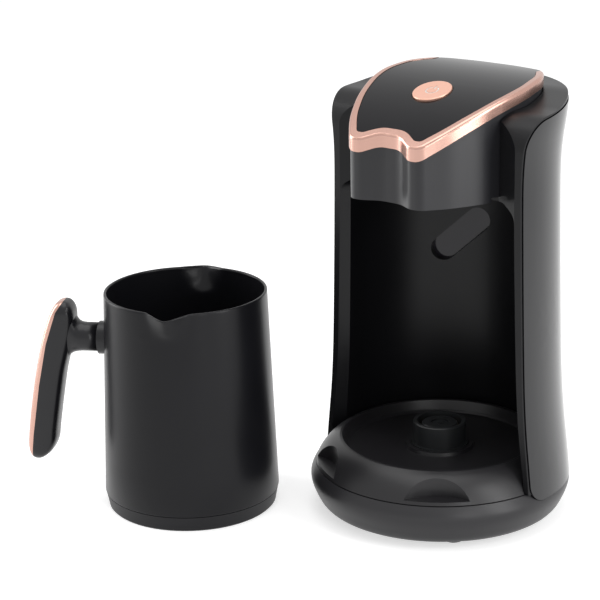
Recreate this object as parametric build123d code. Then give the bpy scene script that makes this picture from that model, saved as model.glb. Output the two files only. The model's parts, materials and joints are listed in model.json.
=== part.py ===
from build123d import *
from math import cos, hypot, radians, sin, sqrt
import os

# An electric turkish coffee maker: a round base with a cordless connector in its
# well, a C-shaped column that carries a sloping control head over the well, and a
# separate pot with its own heater, which stands beside the machine.
# Millimetres, +Z up, the worktop at Z = 0, the front of the machine towards -Y.
# The origin is the middle of the pair's footprint.

os.makedirs("parts", exist_ok=True)

# ---------------------------------------------------------------- placement
MACHINE_X, MACHINE_Y = 61.9, 32.7        # axis of the base and column
POT_X, POT_Y = -48.0, -47.8              # axis of the pot
POT_TURN = 211.0                         # heading of the pot's handle, degrees from +X

# ---------------------------------------------------------------- clearances
FIT = 0.05                               # running fit, radial
GAP = 0.3                                # between neighbouring mouldings
SEAM = 0.5                               # visible shadow gap between covers

# ---------------------------------------------------------------- shared sizes
WALL = 2.4                               # moulded walls
BOARD_T = 1.6                            # circuit boards
SCREW_R = 1.5                            # M3 screw shanks
SCREW_HOLE_R = SCREW_R + FIT
SCREW_HEAD_R, SCREW_HEAD_H = 2.7, 2.0
BOSS_R = 3.6                             # screw bosses

# ---------------------------------------------------------------- base
FOOT_H = 3.6                             # gap under the base plate
BASE_WIDE_R, BASE_WIDE_Z = 70.0, 19.8
FOOT_R, FOOT_PITCH_R, FOOT_COUNT = 6.0, BASE_WIDE_R - 20.0, 4
FOOT_STEM_R = 2.6
BASE_TUCK, BASE_CREASE = 8.0, 2.5        # how far the foot edge and the crease stand inside the widest line
BASE_BOTTOM_R = BASE_WIDE_R - BASE_TUCK
BASE_TOP_R, DECK_Z = BASE_WIDE_R - BASE_CREASE, 25.4  # the crease round the base, and the deck inside
PLATE_T = 2.2                            # bottom plate
BASE_BOSSES, BASE_BOSS_PITCH_R = 3, BASE_WIDE_R - 16.0

# ---------------------------------------------------------------- well tray
WELL_RIM_R, WELL_RIM_Z = 52.7, 40.0
WELL_FLOOR_Z = 33.5
WELL_WALL_DRAFT = 2.2                    # the well's wall leans in by this much
TRAY_T = 2.2
COLLAR_R, COLLAR_Z = 18.2, 35.3          # raised collar round the connector
NOTCH_AZ, NOTCH_HALF_W, NOTCH_DEPTH = 35.5, 20.5, 9.5  # finger rests in the slope
NOTCH_FLOOR = 2.1                        # their floor above the deck

# ---------------------------------------------------------------- connector in the base
BOSS_OUT_R, BOSS_TOP_Z = 14.3, 47.8
BOSS_WALL = 2.1
SLEEVE_R, SLEEVE_DROP = 9.6, 1.2         # inner sleeve, and how far it stops short
SLOT_FLOOR_Z = 36.0
NECK_R = 15.5                            # the body where it passes the tray's collar
CONNECTOR_FLANGE_R, CONNECTOR_FLANGE_T = 24.0, 2.0
CONNECTOR_SCREW_PITCH_R = 20.5
CONNECTOR_TAIL_R, CONNECTOR_TAIL_Z = 12.5, 15.0
PLUNGER_R, PLUNGER_TRAVEL = 5.0, 3.5
PLUNGER_DROP = 1.9                       # plunger top below the top of the boss
PLUNGER_LEN = 8.0
PLUNGER_FLANGE, PLUNGER_FLANGE_T = 1.2, 1.8
CONTACT_T = 0.45                         # sheet of the ring contacts

# ---------------------------------------------------------------- column
COLUMN_PROUD = 0.2                       # the column's foot stands this far outside the base
COLUMN_FOOT_Z, COLUMN_FOOT_R = 20.4, BASE_WIDE_R + COLUMN_PROUD
COLUMN_WAIST_Z, COLUMN_WAIST_R = 176.0, 62.4
COLUMN_SHOULDER_Z, COLUMN_SHOULDER_R = 226.0, 65.6
SKIN_T = 2.2
ARM_DEPTH = 8.9                          # from the outside of the column to the bay
ARM_FRONT_Y = -14.0                      # front faces of the arms
SKIN_TOP = ((-12.6, 220.0), (33.0, 225.4), (78.0, 226.6))   # the skin's top edge, seen from the side
SKIN_TOP_R = (15.0, 60.0)
CROWN = ((ARM_FRONT_Y, 222.0), (12.0, 224.2), (40.0, 228.8), (78.0, 229.6))  # top of the frame, seen from the side
CROWN_R = (17.0, 60.0, 60.0)
SHOULDER_FACE_X, SHOULDER_IN = 56.5, (42.0, -7.0)  # the arms' faces turn in towards the head here
SKIN_CORNER_R = 10.0                     # lower front corners of the skin
BAY_SHIFT = 2.0                          # the bay's axis sits this far forward
BAY_TOP_Z, BAY_TOP_CORNER = 178.0, 8.5
FLARE_R_EXTRA, FLARE_Y = 4.5, -50.0      # bevel of the arms towards the bay
CEILING_T = 2.4
COLUMN_SCREW_AZ = (18.0, 62.0, 118.0, 162.0)
CHANNEL_Z0, CHANNEL_Z1 = 34.0, 170.0     # hollow between frame and skin
RIB_AZ, RIB_W = (50.0, 130.0), 3.0

# ---------------------------------------------------------------- head
DOME_R, DOME_Y, DOME_TOP_Z = 150.0, 37.0, 236.1  # arch of the top: radius, crest, height of the crest
TRIM_H = 5.8                             # height of the trim
TRIM_PROUD = 0.7
TRIM_W = 3.9                             # width of the trim seen from above
TRIM_LEDGE = 1.8                         # ledge that carries the top plate
TRIM_EDGE_R = 1.7                        # rounding of its upper outer edge
TRIM_END_X, TRIM_END_Y = 33.0, 30.0      # the trim stops behind these, at the rear corners
TOP_PLATE_T, TOP_PLATE_DROP = 2.6, 0.25
# Right half of the head's plan from the hollow front to the rear: x, y, corner radius
HEAD_PLAN = ((6.5, -42.0, 14.0), (15.6, -46.9, 7.0), (22.0, -46.9, 6.5), (31.0, -35.5, 60.0), (39.0, -19.0, 80.0),
             (44.0, -2.0, 60.0), (45.8, 11.0, 40.0), (42.5, 29.0, 30.0), (33.0, 44.5, 16.0), (12.0, 48.6, 60.0))
HEAD_BOSSES = ((-41.4, 4.0), (41.4, 4.0), (-10.5, 43.4), (10.5, 43.4))
UNDERSIDE_BOSSES = ((-18.4, -41.3), (18.4, -41.3))

# ---------------------------------------------------------------- power button
BUTTON_Y = -7.0
BUTTON_R, BUTTON_PROUD, BUTTON_TRAVEL = 10.4, 0.7, 0.8
BUTTON_SKIRT = 2.0                       # retaining flange beyond the cap
BUTTON_FLANGE_T = 1.0
BUTTON_GAP = 0.45
BUTTON_BOARD_DROP = 12.0                 # board below the top of the trim
BUTTON_BOARD_X, BUTTON_BOARD_Y = 46.0, 40.0
POST_X, POST_Y, POST_R = 18.0, 15.0, 2.6
SWITCH_W, SWITCH_H = 7.0, 3.6
SWITCH_PLUNGER_R = 1.7

BUZZER_R, BUZZER_H, BUZZER_Y = 4.5, 5.0, -14.5

# ---------------------------------------------------------------- parts on the power board
RELAY_X, RELAY_W, RELAY_D, RELAY_H, RELAY_BACK = 9.0, 14.0, 10.0, 10.0, 7.0
CORE_X, CORE_W, CORE_H = -12.0, 16.0, 9.5
CAN_X, CAN_R, CAN_H = -20.0, 5.0, 11.0

# ---------------------------------------------------------------- foam sensor
SENSOR_AZ, SENSOR_Z = 114.0, 138.0       # in the back wall, to the left of the middle
SENSOR_W, SENSOR_L, SENSOR_LEAN = 14.0, 40.0, 42.0
SENSOR_DEPTH, SENSOR_WINDOW_T = 4.4, 1.2
SENSOR_BOARD_T = 1.0

# ---------------------------------------------------------------- wiring between base and head
LOOM_AZ, LOOM_PITCH, WIRE_R = 74.0, 3.5, 0.9
LOOM_PATH = ((COLUMN_FOOT_R - 6.9, 36.0), (COLUMN_WAIST_R - 3.9, 95.0), (COLUMN_WAIST_R - 6.4, 166.0))  # radius, height
LOOM_HEAD_Z = 196.0                      # height at which the wires enter the head
LOOM_WINDOW = 5.5                        # half the width of their window in its rear wall

# ---------------------------------------------------------------- cord gland
GLAND_Z, GLAND_R, GLAND_BORE_R = 14.8, 5.4, 3.6
GLAND_FLANGE_R, GLAND_FLANGE_T = 6.8, 2.0

# ---------------------------------------------------------------- pot
POT_H, POT_RIM_R = 120.8, 43.9
POT_SEAM_Z, POT_SEAM_R = 8.6, 47.8
POT_WALL = 1.5
POT_FLOOR_Z = 24.5                       # underside of the pot's floor
POT_FLOOR_T = 1.6
SPOUT_TIP_R, SPOUT_NOSE_R = 52.6, 4.0
SPOUT_LEVELS = ((0.0, 14.0, 1.0), (7.0, 13.2, 0.72), (13.5, 10.6, 0.36), (19.0, 7.0, -0.04))  # drop, half width, share
POT_FOOT_TUCK = 1.8                      # the foot stands this far inside the seam
POT_FOOT_R = POT_SEAM_R - POT_FOOT_TUCK
POT_RING_LIP = 3.6                       # how far the base ring reaches up inside the body
POT_SHELF_Z, POT_SHELF_W = 4.6, 4.0
POT_COVER_T = 2.0
POT_SCREW_COUNT = 3
HEATER_R, HEATER_T = 41.0, 2.2
ELEMENT_PITCH_R, ELEMENT_W, ELEMENT_H = 31.0, 7.0, 5.0
SOCKET_WALL, SOCKET_CLEAR = 2.2, 0.6     # skirt of the pot's connector round the boss
SOCKET_TOP_T = 3.0
SOCKET_RING_W = 1.0
THERMOSTAT_R = 7.0

# ---------------------------------------------------------------- handle
STUB_R, STUB_Z = 8.5, 92.0
COLLAR_W, COLLAR_EXTRA = 3.6, 0.6
GRIP_HALF_W, GRIP_ROUND = 8.6, 5.2
TRIM_FRONT = ((69.6, 110.9), (72.9, 110.0), (77.4, 102.3), (84.0, 79.3), (89.7, 50.8), (92.9, 29.5), (92.4, 20.5), (91.2, 18.2))
GRIP_BACK = ((69.0, 110.4), (74.3, 100.5), (79.9, 81.5), (85.2, 59.5), (88.9, 39.0), (90.4, 19.2))
GRIP_FOOT = ((88.6, 17.4), (82.2, 20.4), (78.0, 29.0))
GRIP_HUMP = ((52.0, 100.2), (60.4, 100.2), (63.4, 108.2), (68.2, 110.6))
GRIP_HUMP_R = [3.5, 4.5]
GRIP_DEPTHS = ((-8.0, 10.4), (12.0, 9.8), (30.0, 8.7), (48.0, 8.3), (66.0, 8.0), (78.0, 9.4), (88.0, 11.2), (98.0, 12.0))
GRIP_LOW_Z, GRIP_HIGH_Z, GRIP_END_R = 16.6, 111.4, 6.5
STUB_END_X = 73.0                        # the stub runs on inside the grip
STUD_R, STUD_LEN = 4.6, 5.5              # stud welded to the pot, inside the collar and stub
HANDLE_SCREW_R = 2.0

BIG = 400.0                              # cutting blocks reach well past everything


# ================================================================ helpers
def turned(points):
    """A solid of revolution about Z from a closed outline of (radius, height) points."""
    return revolve(Plane.XZ * make_face(Polyline(*points, close=True)), Axis.Z)


def tube(r_out, r_in, z0, z1):
    """A plain vertical ring."""
    return turned(((r_in, z0), (r_out, z0), (r_out, z1), (r_in, z1)))


def rod(r, z0, z1, x=0.0, y=0.0):
    """A plain vertical cylinder between two heights."""
    return Pos(x, y, (z0 + z1) / 2) * Cylinder(r, z1 - z0)


def block(x0, x1, y0, y1, z0, z1):
    """A box between two corners."""
    return Pos((x0 + x1) / 2, (y0 + y1) / 2, (z0 + z1) / 2) * Box(x1 - x0, y1 - y0, z1 - z0)


def ring_points(count, pitch_r, start=0.0):
    """Evenly spaced (x, y) points on a circle."""
    angles = [radians(start + 360.0 * i / count) for i in range(count)]
    return [(pitch_r * cos(a), pitch_r * sin(a)) for a in angles]


def polar(pitch_r, az):
    return pitch_r * cos(radians(az)), pitch_r * sin(radians(az))


def screw(x, y, z_head, length, up=True):
    """A pan-head screw that points up (or down) from the face its head bears on."""
    way = 1 if up else -1
    shank = rod(SCREW_R, min(0, way * length), max(0, way * length))
    head = rod(SCREW_HEAD_R, min(0, -way * SCREW_HEAD_H), max(0, -way * SCREW_HEAD_H))
    slot = Pos(0, 0, -way * SCREW_HEAD_H) * Box(SCREW_HEAD_R * 1.3, 0.7, 1.0)
    return Pos(x, y, z_head) * (shank + head - slot - slot.rotate(Axis.Z, 90))


def coil(r, wire_r, z0, z1, turns):
    """A compression spring on the Z axis, between two seats."""
    height = z1 - z0 - 2 * wire_r
    path = Helix(pitch=height / turns, height=height, radius=r)
    section = Plane(path @ 0, z_dir=path % 0) * Circle(wire_r)
    return Pos(0, 0, z0 + wire_r) * sweep(section, path, is_frenet=True)


def joined(shapes):
    """Several separate solids kept as one group."""
    solids = [s for shape in shapes for s in shape.solids()]
    return solids[0] if len(solids) == 1 else Compound(solids)


# ================================================================ column surfaces
COLUMN_RISE = COLUMN_WAIST_Z - COLUMN_FOOT_Z
COLUMN_SIDE = (
    (COLUMN_FOOT_R + 0.4, COLUMN_FOOT_Z - 12.0),
    (COLUMN_FOOT_R, COLUMN_FOOT_Z),
    (COLUMN_FOOT_R - 0.46 * (COLUMN_FOOT_R - COLUMN_WAIST_R), COLUMN_FOOT_Z + 0.23 * COLUMN_RISE),
    (COLUMN_FOOT_R - 0.79 * (COLUMN_FOOT_R - COLUMN_WAIST_R), COLUMN_FOOT_Z + 0.55 * COLUMN_RISE),
    (COLUMN_WAIST_R, COLUMN_WAIST_Z),
    (COLUMN_WAIST_R + 0.25 * (COLUMN_SHOULDER_R - COLUMN_WAIST_R), COLUMN_WAIST_Z + 29.0),
    (COLUMN_SHOULDER_R, COLUMN_SHOULDER_Z),
    (COLUMN_SHOULDER_R - 0.4, COLUMN_SHOULDER_Z + 6.0),
    (COLUMN_SHOULDER_R - 4.5, COLUMN_SHOULDER_Z + 13.0),
)


def column(inset):
    """The waisted outside of the column as a solid, shrunk by `inset` (grown if negative)."""
    side = [(r - inset, z) for r, z in COLUMN_SIDE]
    foot, top = side[0], side[-1]
    outline = Spline(*side) + Polyline(top, (0, top[1]), (0, foot[1]), foot)
    return revolve(Plane.XZ * make_face(outline), Axis.Z)


def side_slab(face):
    """A profile drawn in the side view (Y across, Z up), carried through the full width."""
    return extrude(Plane.YZ * face, BIG / 2, both=True)


def skin_side(grow=0.0):
    """Side view of the glossy skin: rounded lower front corner, S-shaped top edge."""
    (y0, _), (y1, top) = SKIN_TOP[0], SKIN_TOP[-1]
    edge = FilletPolyline((y1, COLUMN_FOOT_Z), (y0, COLUMN_FOOT_Z), *SKIN_TOP, radius=[SKIN_CORNER_R, *SKIN_TOP_R])
    face = make_face(edge + Line((y1, top), (y1, COLUMN_FOOT_Z)))
    return offset(face, grow) if grow else face


def frame_side(grow=0.0):
    """Side view of the frame: straight front face, wide shoulder, crown rising to the rear."""
    (y0, _), (y1, top) = CROWN[0], CROWN[-1]
    edge = FilletPolyline((y1, DECK_Z), (y0, DECK_Z), *CROWN, radius=[0.5, *CROWN_R])
    face = make_face(edge + Line((y1, top), (y1, DECK_Z)))
    return offset(face, grow) if grow else face


def hollow_below_head(inset, y, grow):
    """The column's shape shrunk by `inset` and moved by `y`, up to a ceiling with a rounded edge."""
    room = column(inset - grow) - block(-BIG, BIG, -BIG, BIG, BAY_TOP_Z + grow, BIG)
    return Pos(0, y, 0) * fillet(room.edges().group_by(Axis.Z)[-1], BAY_TOP_CORNER + grow)


def bay(grow=0.0):
    """The space between the arms: it follows the column's outside."""
    return hollow_below_head(ARM_DEPTH, -BAY_SHIFT, grow)


def flare(grow=0.0):
    """The bevel that opens the arms towards the front."""
    return hollow_below_head(-FLARE_R_EXTRA, FLARE_Y, grow)


def shoulder_cut(grow=0.0):
    """Above the bay the arms' faces turn in and back, to meet the sides of the head."""
    x0, (x1, y1) = SHOULDER_FACE_X + grow, SHOULDER_IN
    y1 = y1 + grow
    right = make_face(Polyline((x0, ARM_FRONT_Y), (x1, y1), (0, y1), (0, -BIG), (x0, -BIG), close=True))
    return prism(right + mirror(right, Plane.YZ), BAY_TOP_Z - BAY_TOP_CORNER - grow, BIG)


def arms(gap=0.0):
    """The whole envelope of the frame, grown by `gap` for cutting its neighbours."""
    body = column(SEAM - gap) & side_slab(frame_side(gap))
    return body - bay(-gap) - flare(-gap) - shoulder_cut(-gap)


# ================================================================ head outline
def head_outline(grow=0.0):
    """Plan of the head: hollowed front, rounded corners, sides that bow out, round rear."""
    points = [(x, y) for x, y, _ in HEAD_PLAN] + [(-x, y) for x, y, _ in reversed(HEAD_PLAN)]
    radii = [r for _, _, r in HEAD_PLAN] + [r for _, _, r in reversed(HEAD_PLAN)]
    face = make_face(FilletPolyline(*points, radius=radii, close=True))
    return offset(face, grow) if grow else face


def prism(face, z0, z1):
    return extrude(Pos(0, 0, z0) * face, z1 - z0)


def arch(rise):
    """Everything below the arched top, `rise` above the lower edge of the trim (square to it)."""
    r, axis_z = DOME_R - TRIM_H + rise, DOME_TOP_Z - DOME_R
    front, rear = (DOME_Y - r, axis_z), (DOME_Y + r, axis_z)
    return side_slab(make_face(ThreePointArc(front, (DOME_Y, axis_z + r), rear) + Line(rear, front)))


def above_arch(rise):
    return block(-BIG, BIG, -BIG, BIG, BAY_TOP_Z, BIG) - arch(rise)


def arch_slab(low, high):
    """The layer between two such arches."""
    return arch(high) - arch(low)


def button_lean():
    """Sine of the top's slope at the button."""
    return (DOME_Y - BUTTON_Y) / DOME_R


def button_plane(rise):
    """Plane that touches the arched top at the button, `rise` above the top of the trim."""
    normal = Vector(0, -button_lean(), sqrt(1 - button_lean()**2))
    return Plane(Vector(0, DOME_Y, DOME_TOP_Z - DOME_R) + normal * (DOME_R + rise), x_dir=(1, 0, 0), z_dir=normal)


# ================================================================ base
def base_side(inset=0.0):
    """Outside of the base from the foot edge to the crease."""
    return Spline(
        (BASE_BOTTOM_R - inset, FOOT_H), (BASE_WIDE_R - 2.6 - inset, FOOT_H + 6.2),
        (BASE_WIDE_R - inset, BASE_WIDE_Z), (BASE_TOP_R - inset, DECK_Z),
        tangents=((1, 0.35), (-0.62, 1)),
    )


def skin_pocket(gap):
    """Room for the skin in the pieces behind it."""
    return (column(-12.0) - column(SKIN_T + gap)) & side_slab(skin_side(gap))


def make_base_housing():
    outline = base_side() + Polyline((BASE_TOP_R, DECK_Z), (0, DECK_Z), (0, FOOT_H), (BASE_BOTTOM_R, FOOT_H))
    shell = revolve(Plane.XZ * make_face(outline), Axis.Z)
    mouth_r, room_r = BASE_BOTTOM_R - WALL, base_room_r()
    hollow = turned(((0, FOOT_H - 1), (mouth_r, FOOT_H - 1), (mouth_r, FOOT_H + PLATE_T), (room_r, FOOT_H + 8.0),
                     (room_r, DECK_Z - WALL), (0, DECK_Z - WALL)))
    shell = shell - hollow
    pad_y = gland_seat_y()
    shell = shell + (block(-9, 9, pad_y, room_r + 1, FOOT_H + 2, DECK_Z - WALL) & rod(room_r + 1, 0, DECK_Z))
    for x, y in ring_points(BASE_BOSSES, BASE_BOSS_PITCH_R, 30):
        shell = shell + rod(BOSS_R, FOOT_H + PLATE_T, DECK_Z - WALL, x, y)
        shell = shell - rod(SCREW_HOLE_R, FOOT_H, DECK_Z - WALL - 2, x, y)
    shell = shell - skin_pocket(GAP)
    shell = shell - rod(CONNECTOR_TAIL_R + GAP, DECK_Z - 5, DECK_Z + 1)
    for x, y in ring_points(3, CONNECTOR_SCREW_PITCH_R, 90):
        shell = shell + rod(BOSS_R, DECK_Z - WALL - 4, DECK_Z - WALL, x, y)
        shell = shell - rod(SCREW_HOLE_R, DECK_Z - WALL - 4, DECK_Z + 1, x, y)
    for az in COLUMN_SCREW_AZ:
        shell = shell - rod(SCREW_HOLE_R, DECK_Z - 6, DECK_Z + 1, *polar(column_screw_r(), az))
    shell = shell - deck_slot()
    gland_hole = Pos(0, BASE_WIDE_R - 3, GLAND_Z) * Rot(90, 0, 0) * Cylinder(GLAND_R + FIT, 30)
    return shell - gland_hole


def base_room_r():
    """Inside of the base's wall, which leaves a wall behind the skin."""
    return COLUMN_FOOT_R - SKIN_T - GAP - 2.2


def gland_seat_y():
    return base_room_r() - 4.0


def column_screw_r():
    """Pitch radius of the screws that hold the column, close to the base's wall."""
    return base_room_r() - SCREW_HEAD_R - GAP


def loom_slot(r, z0, z1):
    """Passage for the wires, square to the column's radius."""
    half = LOOM_PITCH / 2 + WIRE_R + GAP
    return Rot(0, 0, LOOM_AZ - 90) * block(-half, half, r - WIRE_R - SEAM, r + WIRE_R + SEAM, z0, z1)


def deck_slot():
    """The wires' way up from the base into the back of the column."""
    return loom_slot(LOOM_PATH[0][0], DECK_Z - WALL - 1, CHANNEL_Z0 + 1)


def loom_point(lane, r):
    """Plan position of one wire, `lane` to the side of the loom's middle."""
    x, y = polar(r, LOOM_AZ)
    return x + lane * sin(radians(LOOM_AZ)), y - lane * cos(radians(LOOM_AZ))


def make_base_plate():
    plate = rod(BASE_BOTTOM_R - 2.6 - GAP, FOOT_H, FOOT_H + PLATE_T)
    for x, y in ring_points(BASE_BOSSES, BASE_BOSS_PITCH_R, 30):
        plate = plate - rod(SCREW_HOLE_R, 0, 20, x, y)
        plate = plate - rod(SCREW_HEAD_R + GAP, 0, FOOT_H + 1.0, x, y)
    for x, y in ring_points(FOOT_COUNT, FOOT_PITCH_R, 45):
        plate = plate - rod(FOOT_STEM_R, 0, 20, x, y)
    for x, y in BOARD_POSTS:
        plate = plate + rod(2.4, FOOT_H + PLATE_T, MAIN_BOARD_Z, x, y)
        plate = plate - rod(1.0, FOOT_H + PLATE_T, MAIN_BOARD_Z + 1, x, y)
    for i in range(-3, 4):
        plate = plate - block(i * 6 - 1.2, i * 6 + 1.2, -34, -14, 0, 20)
    return plate


MAIN_BOARD_Z = FOOT_H + PLATE_T + 3.0
MAIN_BOARD = (-34.0, 34.0, 19.0, 47.0)
BOARD_POSTS = [(x, y) for x in (MAIN_BOARD[0] + 4, MAIN_BOARD[1] - 4) for y in (MAIN_BOARD[2] + 4, MAIN_BOARD[3] - 4)]


def make_feet():
    feet = []
    for x, y in ring_points(FOOT_COUNT, FOOT_PITCH_R, 45):
        pad = fillet(rod(FOOT_R, 0, FOOT_H, x, y).edges().group_by(Axis.Z)[0], 0.8)
        stem = rod(FOOT_STEM_R - FIT, FOOT_H, FOOT_H + PLATE_T, x, y)
        cap = rod(FOOT_STEM_R + 0.9, FOOT_H + PLATE_T + FIT, FOOT_H + PLATE_T + 1.2, x, y)
        neck = rod(FOOT_STEM_R - FIT, FOOT_H + PLATE_T, FOOT_H + PLATE_T + 1.0, x, y)
        feet.append(pad + stem + cap + neck)
    return joined(feet)


def make_well_tray():
    wall_foot_r = WELL_RIM_R - WELL_WALL_DRAFT
    rise = WELL_RIM_Z - DECK_Z
    run = BASE_TOP_R - WELL_RIM_R
    out0, out1 = (BASE_TOP_R - GAP, DECK_Z + 0.5), (WELL_RIM_R + 1.6, WELL_RIM_Z - 0.25)
    mid = (WELL_RIM_R + 0.62 * run, DECK_Z + 0.60 * rise)
    in0, in1 = (out0[0] - TRAY_T, out0[1]), (out1[0], out1[1] - TRAY_T - 0.3)
    mid_in = (mid[0] - TRAY_T * 0.8, mid[1] - TRAY_T * 0.8)
    outline = (
        ThreePointArc(out0, mid, out1)
        + Polyline(out1, (WELL_RIM_R + 0.3, WELL_RIM_Z), (WELL_RIM_R - 0.5, WELL_RIM_Z - 0.4),
                   (wall_foot_r, WELL_FLOOR_Z + 1.2), (wall_foot_r - 1.2, WELL_FLOOR_Z),
                   (COLLAR_R + 0.5, WELL_FLOOR_Z), (COLLAR_R, COLLAR_Z), (NECK_R + GAP, COLLAR_Z),
                   (NECK_R + GAP, WELL_FLOOR_Z - TRAY_T), (wall_foot_r - 1.0, WELL_FLOOR_Z - TRAY_T),
                   (wall_foot_r + TRAY_T, WELL_FLOOR_Z), in1)
        + ThreePointArc(in1, mid_in, in0)
        + Line(in0, out0)
    )
    tray = revolve(Plane.XZ * make_face(outline), Axis.Z)
    skirt_r = CONNECTOR_FLANGE_R + 4
    tray = tray + tube(skirt_r + TRAY_T, skirt_r, DECK_Z, WELL_FLOOR_Z - TRAY_T)
    slope = ThreePointArc(out0, mid, out1) + Polyline(out1, (0, out1[1]), (0, out0[1]), out0)
    under_slope = revolve(Plane.XZ * make_face(slope), Axis.Z)
    for x, y, r in finger_rests():
        tray = tray + (rod(r + TRAY_T, DECK_Z, BIG, x, y) & under_slope)
        tray = tray - rod(r, DECK_Z + NOTCH_FLOOR, BIG, x, y)
    return tray - arms(SEAM)


def finger_rests():
    """Centre and radius of the two arched cuts in the slope of the base, either side of the front."""
    r = (NOTCH_HALF_W**2 + NOTCH_DEPTH**2) / (2 * NOTCH_DEPTH)
    return [(*polar(BASE_TOP_R - NOTCH_DEPTH + r, az), r) for az in (-90 - NOTCH_AZ, -90 + NOTCH_AZ)]


def make_connector_base():
    floor_z = CONNECTOR_TAIL_Z
    bore_r = PLUNGER_R + FIT
    chamber_r = PLUNGER_R + PLUNGER_FLANGE + FIT
    sleeve_top = BOSS_TOP_Z - SLEEVE_DROP
    flange_z = DECK_Z + CONNECTOR_FLANGE_T
    body = turned((
        (0, floor_z), (CONNECTOR_TAIL_R, floor_z), (CONNECTOR_TAIL_R, DECK_Z), (CONNECTOR_FLANGE_R, DECK_Z),
        (CONNECTOR_FLANGE_R, flange_z), (NECK_R, flange_z), (NECK_R, COLLAR_Z + 0.4), (BOSS_OUT_R, COLLAR_Z + 0.6),
        (BOSS_OUT_R, BOSS_TOP_Z - 0.6), (BOSS_OUT_R - 0.6, BOSS_TOP_Z), (BOSS_OUT_R - BOSS_WALL, BOSS_TOP_Z),
        (BOSS_OUT_R - BOSS_WALL, SLOT_FLOOR_Z), (SLEEVE_R, SLOT_FLOOR_Z), (SLEEVE_R, sleeve_top - 0.5),
        (SLEEVE_R - 0.5, sleeve_top), (bore_r, sleeve_top), (bore_r, shoulder_z()), (chamber_r, shoulder_z()),
        (chamber_r, spring_floor_z()), (0, spring_floor_z()),
    ))
    for x, y in ring_points(3, CONNECTOR_SCREW_PITCH_R, 90):
        body = body - rod(SCREW_HOLE_R, DECK_Z - 1, flange_z + 1, x, y)
    for x, y in ring_points(3, CONNECTOR_TAIL_R - 4.5, 0):
        blade = block(x - 0.4, x + 0.4, y - 2.4, y + 2.4, floor_z - 5, floor_z)
        body = body + blade
    return body


def plunger_top_z():
    return BOSS_TOP_Z - PLUNGER_DROP


def shoulder_z():
    """The step in the sleeve that keeps the plunger in."""
    return plunger_top_z() - PLUNGER_LEN + PLUNGER_FLANGE_T + 0.1


def spring_floor_z():
    return plunger_top_z() - PLUNGER_LEN - PLUNGER_TRAVEL - 4.5


def make_plunger():
    top, foot = plunger_top_z(), plunger_top_z() - PLUNGER_LEN
    body = rod(PLUNGER_R, foot, top) + rod(PLUNGER_R + PLUNGER_FLANGE, foot, foot + PLUNGER_FLANGE_T)
    body = chamfer(body.edges().group_by(Axis.Z)[-1], 0.4)
    return body + rod(1.5, top, top + 0.6)


def make_plunger_spring():
    return coil(PLUNGER_R - 1.2, 0.35, spring_floor_z() + FIT, plunger_top_z() - PLUNGER_LEN - FIT, 4)


def make_connector_seal():
    """Drip seal between the connector's flange and the tray."""
    return tube(NECK_R + 2.0, NECK_R + FIT, DECK_Z + CONNECTOR_FLANGE_T, WELL_FLOOR_Z - TRAY_T - FIT)


def make_contacts():
    """Ring contacts on both walls of the annular slot."""
    outer_r = BOSS_OUT_R - BOSS_WALL - FIT
    inner_r = SLEEVE_R + FIT
    z0, z1 = SLOT_FLOOR_Z, SLOT_FLOOR_Z + 6.5
    return joined([tube(outer_r, outer_r - CONTACT_T, z0, z1), tube(inner_r + CONTACT_T, inner_r, z0, z1)])


# ================================================================ column pieces
def make_column_frame():
    frame = arms() - skin_pocket(SEAM)
    inside = column(SKIN_T + SEAM + WALL) & side_slab(offset(frame_side(), -WALL))
    inside = inside - block(-BIG, BIG, -BIG, BIG, -BIG, BAY_TOP_Z + CEILING_T) - shoulder_cut(WALL)
    frame = frame - inside
    through = prism(head_outline(SEAM), BAY_TOP_Z + CEILING_T, BIG)
    below = prism(head_outline(SEAM), BAY_TOP_Z - 1, BAY_TOP_Z + CEILING_T)
    through = through + (below & block(-BIG, BIG, -BIG, ARM_FRONT_Y + WALL, 0, BIG))
    frame = frame - through
    # channel for the wires, left solid round the foam sensor and at two ribs
    channel = (column(0) - (Pos(0, -BAY_SHIFT, 0) * column(ARM_DEPTH - WALL))) & block(
        -BIG, BIG, ARM_FRONT_Y + 12, BIG, CHANNEL_Z0, CHANNEL_Z1)
    for az in RIB_AZ:
        channel = channel - Rot(0, 0, az) * block(0, BIG, -RIB_W / 2, RIB_W / 2, 0, BIG)
    channel = channel - sensor_shape(SENSOR_W + 2 * WALL, SENSOR_L + 2 * WALL, -8, 8)
    frame = frame - channel
    frame = frame - deck_slot() - loom_slot(LOOM_PATH[-1][0], CHANNEL_Z1 - 1, BAY_TOP_Z + CEILING_T + 1)
    # foam sensor: a slanted pocket, then a seat for its window and board
    frame = frame - sensor_shape(SENSOR_W, SENSOR_L, -20, SENSOR_DEPTH)
    frame = frame - sensor_shape(SENSOR_W + 2, SENSOR_L + 2, SENSOR_DEPTH, 20)
    for az in COLUMN_SCREW_AZ:
        frame = frame - rod(SCREW_HOLE_R, 0, CHANNEL_Z0 - 1, *polar(column_screw_r(), az))
    for x, y in HEAD_BOSSES:
        frame = frame - rod(SCREW_HOLE_R, BAY_TOP_Z - 1, BAY_TOP_Z + 4, x, y)
        frame = frame - rod(SCREW_HEAD_R + FIT, BAY_TOP_Z - 1, BAY_TOP_Z + 1.2, x, y)
    return frame


def sensor_plane(depth):
    """Plane in the back wall of the bay, `depth` behind its surface, square to the view of the pot."""
    x, y = polar(1.0, SENSOR_AZ)
    r = COLUMN_WAIST_R - ARM_DEPTH - BAY_SHIFT * y + depth
    return Plane((x * r, y * r, SENSOR_Z), x_dir=(-y, x, 0), z_dir=(x, y, 0))


def sensor_shape(width, length, d0, d1):
    """An obround column through the back wall, leaning from lower left to upper right."""
    face = Rot(0, 0, 180 - SENSOR_LEAN) * SlotOverall(length, width)
    return extrude(sensor_plane(d0) * face, d1 - d0)


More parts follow.
